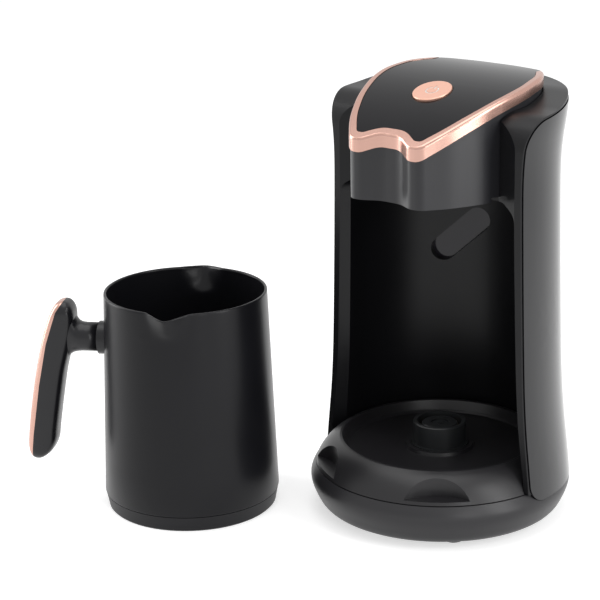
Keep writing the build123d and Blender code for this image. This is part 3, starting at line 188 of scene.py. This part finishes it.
# %% [markdown]
# ## Finishes
# One function makes a finish from plain values: two close colours, a roughness and its
# spread, the size and depth of the grain, and what the shader needs besides. The groups feed
# colour, roughness and bump, and everything constant is set on the shader itself.

# %% A finish from plain values
def finish(name, colour, second, roughness, spread=0.05, grain=1500.0, depth=0.00002, drift=30.0, **shader):
    material = bpy.data.materials.new(name)
    material.use_nodes = True
    tree = material.node_tree
    surface = tree.nodes["Principled BSDF"]
    paint = tree.nodes.new("ShaderNodeGroup")
    paint.node_tree = COLOUR_DRIFT
    paint.inputs["Colour"].default_value = (*colour, 1)
    paint.inputs["Second Colour"].default_value = (*second, 1)
    paint.inputs["Scale"].default_value = drift
    texture = tree.nodes.new("ShaderNodeGroup")
    texture.node_tree = MOULDED_GRAIN
    texture.inputs["Roughness"].default_value = roughness
    texture.inputs["Spread"].default_value = spread
    texture.inputs["Grain Scale"].default_value = grain
    bump = tree.nodes.new("ShaderNodeBump")
    bump.inputs["Strength"].default_value = 1.0
    bump.inputs["Distance"].default_value = depth
    tree.links.new(paint.outputs["Colour"], surface.inputs["Base Color"])
    tree.links.new(texture.outputs["Roughness"], surface.inputs["Roughness"])
    tree.links.new(texture.outputs["Height"], bump.inputs["Height"])
    tree.links.new(bump.outputs["Normal"], surface.inputs["Normal"])
    for socket, value in shader.items():
        surface.inputs[socket.replace("_", " ")].default_value = value
    return material


FINISHES = {
    "base_black": finish("base_black", (0.018, 0.017, 0.019), (0.013, 0.013, 0.015),
                         0.38, 0.12, 1400, 0.000012, Specular_IOR_Level=0.42),
    "tray_black": finish("tray_black", (0.014, 0.013, 0.015), (0.010, 0.010, 0.011),
                         0.36, 0.12, 1400, 0.000012, Specular_IOR_Level=0.40),
    "frame_black": finish("frame_black", (0.006, 0.006, 0.007), (0.004, 0.004, 0.005),
                          0.34, 0.10, 1600, 0.00001, Specular_IOR_Level=0.24),
    "skin_gloss": finish("skin_gloss", (0.008, 0.008, 0.010), (0.006, 0.006, 0.007),
                         0.12, 0.06, 400, 0.000004, Coat_Weight=0.12, Coat_Roughness=0.04),
    "head_black": finish("head_black", (0.016, 0.016, 0.019), (0.012, 0.012, 0.014),
                         0.34, 0.10, 1600, 0.00001, Specular_IOR_Level=0.42),
    "plate_gloss": finish("plate_gloss", (0.007, 0.006, 0.008), (0.005, 0.005, 0.006),
                          0.07, 0.03, 400, 0.000003, Specular_IOR_Level=0.17),
    "rose_metal": finish("rose_metal", (0.60, 0.37, 0.31), (0.52, 0.31, 0.25), 0.26, 0.12, 2500, 0.000008,
                         Metallic=1.0),
    "rose_button": finish("rose_button", (0.80, 0.47, 0.36), (0.74, 0.42, 0.32), 0.40, 0.08, 2500, 0.000008,
                          Metallic=0.85),
    "connector_black": finish("connector_black", (0.016, 0.017, 0.018), (0.011, 0.012, 0.013),
                              0.40, 0.10, 1600, 0.00001, Specular_IOR_Level=0.32),
    "pot_coating": finish("pot_coating", (0.007, 0.007, 0.009), (0.005, 0.005, 0.006),
                          0.30, 0.10, 1100, 0.000012, Specular_IOR_Level=0.20),
    "pot_ring_black": finish("pot_ring_black", (0.008, 0.008, 0.010), (0.006, 0.006, 0.007), 0.45, 0.10, 1500,
                             0.000012, Specular_IOR_Level=0.25),
    "handle_black": finish("handle_black", (0.010, 0.010, 0.012), (0.007, 0.007, 0.009),
                           0.28, 0.08, 1500, 0.000008, Specular_IOR_Level=0.35),
    "rubber_black": finish("rubber_black", (0.018, 0.018, 0.018), (0.013, 0.013, 0.013),
                           0.75, 0.10, 900, 0.00004),
    "steel": finish("steel", (0.60, 0.60, 0.62), (0.52, 0.52, 0.54), 0.30, 0.10, 1800, 0.00001, Metallic=1.0),
    "brass": finish("brass", (0.80, 0.60, 0.30), (0.70, 0.50, 0.24), 0.28, 0.10, 1800, 0.00001, Metallic=1.0),
    "heater_metal": finish("heater_metal", (0.72, 0.72, 0.74), (0.62, 0.62, 0.64), 0.40, 0.12, 900, 0.00002,
                           Metallic=1.0),
    "board_green": finish("board_green", (0.03, 0.16, 0.08), (0.02, 0.12, 0.06), 0.35, 0.08, 1200, 0.00001),
    "electronics": finish("electronics", (0.045, 0.045, 0.05), (0.03, 0.03, 0.035), 0.5, 0.10, 1500, 0.00002),
    "switch_white": finish("switch_white", (0.75, 0.75, 0.72), (0.68, 0.68, 0.65), 0.4, 0.08, 1500, 0.00001),
    "window_smoked": finish("window_smoked", (0.012, 0.010, 0.016), (0.008, 0.006, 0.012), 0.10, 0.02, 300,
                            0.000002, Specular_IOR_Level=0.35),
    "wire_red": finish("wire_red", (0.42, 0.03, 0.02), (0.34, 0.02, 0.015), 0.5, 0.08, 1200, 0.00002),
}
print("finishes:", len(FINISHES))

# %% [markdown]
# The solids take their finish from the slot that the record names for them.

# %% Dress the solids
slot_of = {part["node"]: part["material_slot"] for part in frame["record"]["subparts"]}
for name, solid in nodes.items():
    solid.data.materials.clear()
    solid.data.materials.append(FINISHES[slot_of[name]])
print("dressed solids:", len(slot_of))

# %% [markdown]
# ## Pot
# The pot is a pressed can: a tapered wall with a rolled rim, and two lips pinched out of it for
# pouring. The wall's outline is spun round the axis in one go, because everything but the lips
# is round. The lips are then pulled out of the wall, as a press does it, so wall and lip stay
# one skin without a seam.

# %% Spin the wall of the pot
POT_WALL, FLOOR_TOP = 0.0015, 0.0261
SEAM_R, RIM_R = 0.04779, 0.04389
FLAT_FLOOR_R, FLOOR_CORNER = 0.020, 0.0006
SEAM_ROUND, RIM_ROUND = 0.0006, 0.0008
LOW_LEVELS, LOW_STEP = 6, 0.012
HIGH_LEVELS, HIGH_STEP, HIGH_DROP = 14, 0.0015, 0.021
TURN_STEPS, SAME_PLACE = 192, 0.000002
seam_z, rim_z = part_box("pot_body")[0].z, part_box("pot_body")[1].z


def wall_r(z):
    return SEAM_R + (RIM_R - SEAM_R) * (z - seam_z) / (rim_z - seam_z)


levels = [FLOOR_TOP + 0.002 + step * LOW_STEP for step in range(LOW_LEVELS)]
levels += [rim_z - HIGH_DROP + step * HIGH_STEP for step in range(HIGH_LEVELS)]
floor_r = wall_r(FLOOR_TOP) - POT_WALL
outline = [(0.0, FLOOR_TOP), (FLAT_FLOOR_R, FLOOR_TOP), (floor_r - 0.002, FLOOR_TOP),
           (floor_r - FLOOR_CORNER, FLOOR_TOP + FLOOR_CORNER)]
outline += [(wall_r(z) - POT_WALL, z) for z in levels]
outline += [(RIM_R - POT_WALL - 0.0001, rim_z - 0.0006), (RIM_R - POT_WALL * 0.8, rim_z - 0.00015),
            (RIM_R - POT_WALL * 0.4, rim_z), (RIM_R - 0.0001, rim_z - 0.0003), (RIM_R, rim_z - RIM_ROUND)]
outline += [(wall_r(z), z) for z in reversed(levels)]
outline += [(wall_r(seam_z + SEAM_ROUND), seam_z + SEAM_ROUND), (SEAM_R - SEAM_ROUND / 2, seam_z),
            (SEAM_R - POT_WALL, seam_z)]

wall = bmesh.new()
corners = [wall.verts.new((radius, 0, height)) for radius, height in outline]
edges = [wall.edges.new(pair) for pair in zip(corners[:-1], corners[1:])]
bmesh.ops.spin(wall, geom=corners + edges, cent=(0, 0, 0), axis=(0, 0, 1), angle=2 * pi,
               steps=TURN_STEPS, use_merge=True)
bmesh.ops.remove_doubles(wall, verts=wall.verts, dist=SAME_PLACE)
bmesh.ops.recalc_face_normals(wall, faces=wall.faces)
print("pot wall faces:", len(wall.faces))

# %% [markdown]
# Seen from above a lip is a rounded V. It is widest at the rim and fades out 16.5 mm below it.
# Each corner of the mesh near the rim moves out along its own radius until it reaches the V, and
# the rim dips a little on the way.

# %% Pull out the two lips
LIP_TIP_R, LIP_FADE, LIP_ROUND, LIP_DIP = 0.0540, 0.0165, 0.045, 0.0020
LIP_HALF_TOP, LIP_NARROWS, LIP_REACH, LIP_BLEND = 0.0121, 0.0045, 0.018, 0.004
LIP_SOFTNESS, INSIDE_R = 0.0004, 0.03


def lip_radius(point, drop, radius):
    """Radius of the lip's V in the direction of a point."""
    share = max(0.0, 1 - drop / LIP_FADE) ** 1.1
    half = LIP_HALF_TOP - LIP_NARROWS * drop / LIP_FADE
    tip = radius + share * (LIP_TIP_R - RIM_R)
    root = sqrt(radius ** 2 - half ** 2)
    sideways = sqrt((point.x / point.xy.length) ** 2 + LIP_ROUND ** 2)
    along = abs(point.y) / point.xy.length
    return tip / (along + sideways * (tip - root) / half)


for corner in wall.verts:
    drop = rim_z - corner.co.z
    radius = corner.co.xy.length
    if drop < LIP_FADE and radius > INSIDE_R and abs(corner.co.x) < LIP_REACH:
        extra = lip_radius(corner.co, drop, radius) - radius
        extra = (extra + sqrt(extra ** 2 + LIP_SOFTNESS ** 2)) / 2 * min(1.0, 3 - 3 * drop / LIP_FADE)
        extra *= min(1.0, (LIP_REACH - abs(corner.co.x)) / LIP_BLEND)
        corner.co.xy *= (radius + extra) / radius
        corner.co.z -= LIP_DIP * extra / (LIP_TIP_R - RIM_R) * (1 - drop / LIP_FADE)


def finished(shape, name, body, slot, place=Matrix.Identity(4), replaced=None):
    """Turn a bmesh into a smooth object that belongs to a body."""
    bmesh.ops.transform(shape, matrix=place, verts=shape.verts)
    mesh = bpy.data.meshes.new(name)
    for face in shape.faces:
        face.smooth = True
    shape.to_mesh(mesh)
    shape.free()
    piece = bpy.data.objects.new(name, mesh)
    bpy.context.scene.collection.objects.link(piece)
    mesh.materials.append(FINISHES[slot])
    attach(piece, body)
    if replaced:
        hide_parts(replaced)
    return piece


at_pot = Matrix.Translation(pot_axis) @ Matrix.Rotation(handle_turn, 4, "Z")
pot_shell = finished(wall, "pot_shell", "pot", "pot_coating", at_pot, "pot_body")
print("pot shell size:", pot_shell.dimensions)

# %% [markdown]
# ## Handle
# The grip is a bar whose depth changes on the way down. It is made of rings at many heights.
# Each ring is a soft rectangle between the bar's outer line and its inner line, and the rings
# get narrower at both ends, so the ends close into round tips.

# %% Rings of the grip
MM = 0.001
GRIP_OUTER = ((66.8, 113.0), (69.4, 112.6), (72.0, 110.9), (75.7, 104.6), (79.2, 94.8),
              (82.1, 84.7), (84.9, 72.6), (87.2, 60.9), (89.4, 48.0), (91.1, 35.6),
              (91.5, 28.4), (90.0, 22.8), (86.4, 20.7))
GRIP_INNER = ((66.8, 113.0), (64.2, 111.8), (62.2, 108.0), (61.6, 103.2), (62.4, 96.0),
              (64.6, 87.0), (66.8, 79.0), (68.6, 72.0), (70.4, 62.5), (72.5, 50.5),
              (74.3, 39.5), (75.6, 31.5), (78.4, 25.8), (82.6, 22.1), (86.4, 20.7))
GRIP_HALF, GRIP_TIP_HALF, END_ROUND = 8.6, 2.2, 7.0
CORNERS, RINGS, FIRST_RING, LINE_STEPS = 56, 97, 0.35, 8


def flowing(points, steps):
    """A smooth line through the points (Catmull-Rom)."""
    line, last = [], len(points) - 1
    for i in range(last):
        a, b, c, d = (Vector(points[min(max(i + k, 0), last)]) for k in (-1, 0, 1, 2))
        for j in range(steps):
            t = j / steps
            line.append(((2 * b) + (c - a) * t + (2 * a - 5 * b + 4 * c - d) * t ** 2
                         + (3 * b - a - 3 * c + d) * t ** 3) / 2)
    return line + [Vector(points[-1])]


def across(line, height):
    """Where a falling line passes a height."""
    for (x0, z0), (x1, z1) in zip(line[:-1], line[1:]):
        if z0 >= height > z1:
            return x0 + (x1 - x0) * (z0 - height) / (z0 - z1)
    return line[-1][0]


def ring(shape, centre, depth, half, height, power=3.2):
    """A soft rectangle of corners at one height (a superellipse)."""
    corners = []
    for k in range(CORNERS):
        c, s = cos(2 * pi * k / CORNERS), sin(2 * pi * k / CORNERS)
        x, y = (copysign(abs(v) ** (2 / power), v) for v in (c, s))
        corners.append(shape.verts.new(Vector((centre + depth * x, half * y, height)) * MM))
    return corners


def joined(shape, rings):
    """Faces between each ring and the next, and a cap at both ends."""
    for one, two in zip(rings[:-1], rings[1:]):
        for k in range(len(one)):
            n = (k + 1) % len(one)
            shape.faces.new((one[k], one[n], two[n], two[k]))
    shape.faces.new(rings[0])
    shape.faces.new(rings[-1])
    bmesh.ops.recalc_face_normals(shape, faces=shape.faces)


outer_line, inner_line = flowing(GRIP_OUTER, LINE_STEPS), flowing(GRIP_INNER, LINE_STEPS)
top_z, low_z = GRIP_OUTER[0][1], GRIP_OUTER[-1][1]
turns = [pi * (k + FIRST_RING) / (RINGS - 1 + 2 * FIRST_RING) for k in range(RINGS)]
heights = [(top_z + low_z) / 2 + (top_z - low_z) / 2 * cos(turn) for turn in turns]
grip, rings = bmesh.new(), []
for height in heights:
    x_out, x_in = across(outer_line, height), across(inner_line, height)
    left = min(1.0, (top_z - height) / END_ROUND, (height - low_z) / END_ROUND)
    half = GRIP_TIP_HALF + (GRIP_HALF - GRIP_TIP_HALF) * sqrt(1 - (1 - left) ** 2)
    rings.append(ring(grip, (x_out + x_in) / 2, max(x_out - x_in, 0.1) / 2, half, height))
joined(grip, rings)
print("grip faces:", len(grip.faces))

# %% [markdown]
# The rose strip is the outermost part of the same form. Flat cuts along its border split the
# mesh, and then every face lies on one side or the other, so strip and grip meet exactly.

# %% Part the rose strip from the grip
STRIP_BORDER = ((66.4, 114.2), (70.8, 107.4), (77.1, 89.2), (82.2, 65.4), (87.1, 35.8), (89.2, 18.0))
for (x0, z0), (x1, z1) in zip(STRIP_BORDER[:-1], STRIP_BORDER[1:]):
    parts = grip.verts[:] + grip.edges[:] + grip.faces[:]
    bmesh.ops.bisect_plane(grip, geom=parts, dist=0.000001, plane_co=Vector((x0, 0, z0)) * MM,
                           plane_no=(z0 - z1, 0, x1 - x0))


def beyond_border(face):
    spot = face.calc_center_median() / MM
    for (x0, z0), (x1, z1) in zip(STRIP_BORDER[:-1], STRIP_BORDER[1:]):
        if z1 <= spot.z <= z0:
            return spot.x > x0 + (x1 - x0) * (z0 - spot.z) / (z0 - z1)
    return False


def kept(shape, outer):
    """A copy of the mesh with only the faces of one side of the border."""
    part = shape.copy()
    part.faces.ensure_lookup_table()
    others = [face for face in part.faces if beyond_border(face) != outer]
    bmesh.ops.delete(part, geom=others, context="FACES")
    return part


strip = kept(grip, True)
rest = kept(grip, False)
grip.free()

# %% [markdown]
# The stub between collar and bar is round at the collar. Towards the bar its rings grow up and
# down but not sideways, which gives the soft corners above and below it.

# %% Stub of the handle
STUB_RINGS = ((48.9, 84.4, 100.2), (56.0, 84.3, 100.2), (58.4, 84.2, 100.5), (60.0, 84.0, 101.3),
              (61.2, 83.8, 102.8), (62.2, 83.5, 104.8), (63.4, 83.1, 106.6), (64.8, 82.3, 107.0),
              (66.0, 80.9, 107.0), (67.4, 78.2, 106.0))
STUB_HALF, STUB_TAPER, TAPER_START = 7.9, 0.012, 58
stub, rings = bmesh.new(), []
for x, low, high in STUB_RINGS:
    half = STUB_HALF - STUB_TAPER * max(0.0, x - TAPER_START) ** 2
    corners = ring(stub, 0.0, half, (high - low) / 2, 0.0, power=2.0)
    for corner in corners:
        y, z = corner.co.x, corner.co.y
        corner.co = (x * MM, y, z + (high + low) / 2 * MM)
    rings.append(corners)
joined(stub, rings)
soft = bpy.data.meshes.new("stub_form")
stub.to_mesh(soft)
stub.free()
rest.from_mesh(soft)
bpy.data.meshes.remove(soft)
grip_shell = finished(rest, "grip_shell", "pot", "handle_black", at_pot, "handle_grip")
rose_strip = finished(strip, "rose_strip", "pot", "rose_metal", at_pot, "handle_trim")
print("grip:", grip_shell.dimensions, "strip:", rose_strip.dimensions)

# %% [markdown]
# ## Power sign
# The sign on the button is a pale line in a shallow groove. Its ring is a small rectangle spun
# through most of a turn, and the bar is a cube. It lies in the button's own plane, whose centre
# and direction are measured from the highest corners of the solid.

# %% Fill the groove of the power sign
SIGN_INNER, SIGN_OUTER, SIGN_LOW, SIGN_HIGH = 0.00292, 0.00368, -0.00022, -0.00008
BAR_WIDTH, BAR_LENGTH, BAR_MIDDLE = 0.00074, 0.0033, 0.0029
RING_START, RING_TURN, RING_STEPS = 115, 310, 48
FLAT_TOP = 0.00002

press = next(joint for joint in frame["joints"] if joint["name"] == "power_button_press")
up = -Vector(press["axis"]).normalized()
reached = [(up.dot(corner.co), corner.co) for corner in nodes["power_button"].data.vertices]
top = max(height for height, _ in reached)
rim = [co for height, co in reached if top - height < FLAT_TOP]
centre = sum(rim, Vector()) / len(rim)
centre += up * (top - up.dot(centre))
lie = Matrix.Translation(centre) @ up.to_track_quat("Z", "Y").to_matrix().to_4x4()
print("button centre:", centre, "points up:", up)

sign = bmesh.new()
section = ((SIGN_INNER, SIGN_LOW), (SIGN_OUTER, SIGN_LOW), (SIGN_OUTER, SIGN_HIGH), (SIGN_INNER, SIGN_HIGH))
corners = [sign.verts.new((radius, 0, height)) for radius, height in section]
start = sign.faces.new(corners)
bmesh.ops.rotate(sign, verts=corners, cent=(0, 0, 0), matrix=Matrix.Rotation(radians(RING_START), 3, "Z"))
bmesh.ops.spin(sign, geom=[start] + corners + list(start.edges), cent=(0, 0, 0), axis=(0, 0, 1),
               angle=radians(RING_TURN), steps=RING_STEPS)
bar = bmesh.ops.create_cube(sign, size=1.0)["verts"]
bmesh.ops.scale(sign, vec=(BAR_WIDTH, BAR_LENGTH, SIGN_HIGH - SIGN_LOW), verts=bar)
bmesh.ops.translate(sign, vec=(0, BAR_MIDDLE, (SIGN_HIGH + SIGN_LOW) / 2), verts=bar)
bmesh.ops.recalc_face_normals(sign, faces=sign.faces)
power_sign = finished(sign, "power_sign", "power_button", "switch_white", lie)
print("sign size:", power_sign.dimensions)

# %% [markdown]
# ## Studio
# The pair stands on a pale floor in a white studio. What the eye, a mirror or glass sees of the
# studio is plain white, which a Light Path switch gives without more light on the object. The
# floor takes the lamps as any paint does, so it keeps the soft shadow.

# %% Floor
FLOOR_SIZE, FLOOR_GREY, FLOOR_LIFT = 6.0, 0.70, 0.60
floor_mesh = bpy.data.meshes.new("floor")
floor = bpy.data.objects.new("floor", floor_mesh)
bpy.context.scene.collection.objects.link(floor)
shape = bmesh.new()
bmesh.ops.create_grid(shape, x_segments=2, y_segments=2, size=FLOOR_SIZE / 2)
shape.to_mesh(floor_mesh)
shape.free()


def seen_by_eye(tree):
    """1 for camera, mirror and glass rays, 0 for the rays that carry plain light."""
    path = tree.nodes.new("ShaderNodeLightPath")
    mirror = tree.nodes.new("ShaderNodeMath")
    mirror.operation = "MAXIMUM"
    tree.links.new(path.outputs["Is Camera Ray"], mirror.inputs[0])
    tree.links.new(path.outputs["Is Glossy Ray"], mirror.inputs[1])
    glass = tree.nodes.new("ShaderNodeMath")
    glass.operation = "MAXIMUM"
    tree.links.new(mirror.outputs[0], glass.inputs[0])
    tree.links.new(path.outputs["Is Transmission Ray"], glass.inputs[1])
    return glass.outputs[0]


floor_paint = bpy.data.materials.new("floor_paint")
floor_paint.use_nodes = True
floor_tree = floor_paint.node_tree
floor_surface = floor_tree.nodes["Principled BSDF"]
floor_surface.inputs["Base Color"].default_value = (FLOOR_GREY, FLOOR_GREY, FLOOR_GREY, 1)
floor_surface.inputs["Roughness"].default_value = 0.9
floor_surface.inputs["Specular IOR Level"].default_value = 0.0
floor_surface.inputs["Emission Color"].default_value = (1, 1, 1, 1)
lift = floor_tree.nodes.new("ShaderNodeMath")
lift.operation = "MULTIPLY"
lift.inputs[1].default_value = FLOOR_LIFT
floor_tree.links.new(seen_by_eye(floor_tree), lift.inputs[0])
floor_tree.links.new(lift.outputs[0], floor_surface.inputs["Emission Strength"])
floor_mesh.materials.append(floor_paint)
print("floor:", FLOOR_SIZE, "m")

# %% World
PLAIN_LIGHT, SEEN_WHITE = 0.55, 1.0
world = bpy.data.worlds.new("studio")
world.use_nodes = True
bpy.context.scene.world = world
air = world.node_tree
plain_light = air.nodes["Background"]
plain_light.inputs["Color"].default_value = (1, 1, 1, 1)
plain_light.inputs["Strength"].default_value = PLAIN_LIGHT
white = air.nodes.new("ShaderNodeBackground")
white.inputs["Color"].default_value = (1, 1, 1, 1)
white.inputs["Strength"].default_value = SEEN_WHITE
choose = air.nodes.new("ShaderNodeMixShader")
air.links.new(seen_by_eye(air), choose.inputs["Fac"])
air.links.new(plain_light.outputs[0], choose.inputs[1])
air.links.new(white.outputs[0], choose.inputs[2])
air.links.new(choose.outputs[0], air.nodes["World Output"].inputs["Surface"])
print("world strength:", PLAIN_LIGHT)

# %% [markdown]
# Four soft lamps do the rest. The left one and the strip in front give the long bands on the pot,
# the right one runs down the glossy skin, and the top one lights the arched plate and puts the
# shadow underneath.

# %% Lamps
def soft_lamp(name, place, aim, width, height, watts):
    lamp_data = bpy.data.lights.new(name, "AREA")
    lamp_data.shape = "RECTANGLE"
    lamp_data.size = width
    lamp_data.size_y = height
    lamp_data.energy = watts
    lamp = bpy.data.objects.new(name, lamp_data)
    bpy.context.scene.collection.objects.link(lamp)
    way = Vector(aim) - Vector(place)
    lamp.matrix_world = Matrix.Translation(place) @ way.to_track_quat("-Z", "Y").to_matrix().to_4x4()
    return lamp


lamps = [
    soft_lamp("left_lamp", (-0.95, -0.35, 0.45), (0, 0, 0.10), 0.30, 1.0, 6.0),
    soft_lamp("right_lamp", (0.95, 0.05, 0.45), (0.0, 0.0, 0.12), 0.25, 1.0, 4.5),
    soft_lamp("front_strip", (1.08, -0.56, 0.30), (-0.03, -0.03, 0.10), 0.14, 0.9, 2.2),
    soft_lamp("top_lamp", (-0.05, -0.10, 1.35), (0, 0, 0.1), 1.2, 1.0, 7.0),
]
bpy.context.scene.view_settings.view_transform = "Standard"
print("lamps:", len(lamps))
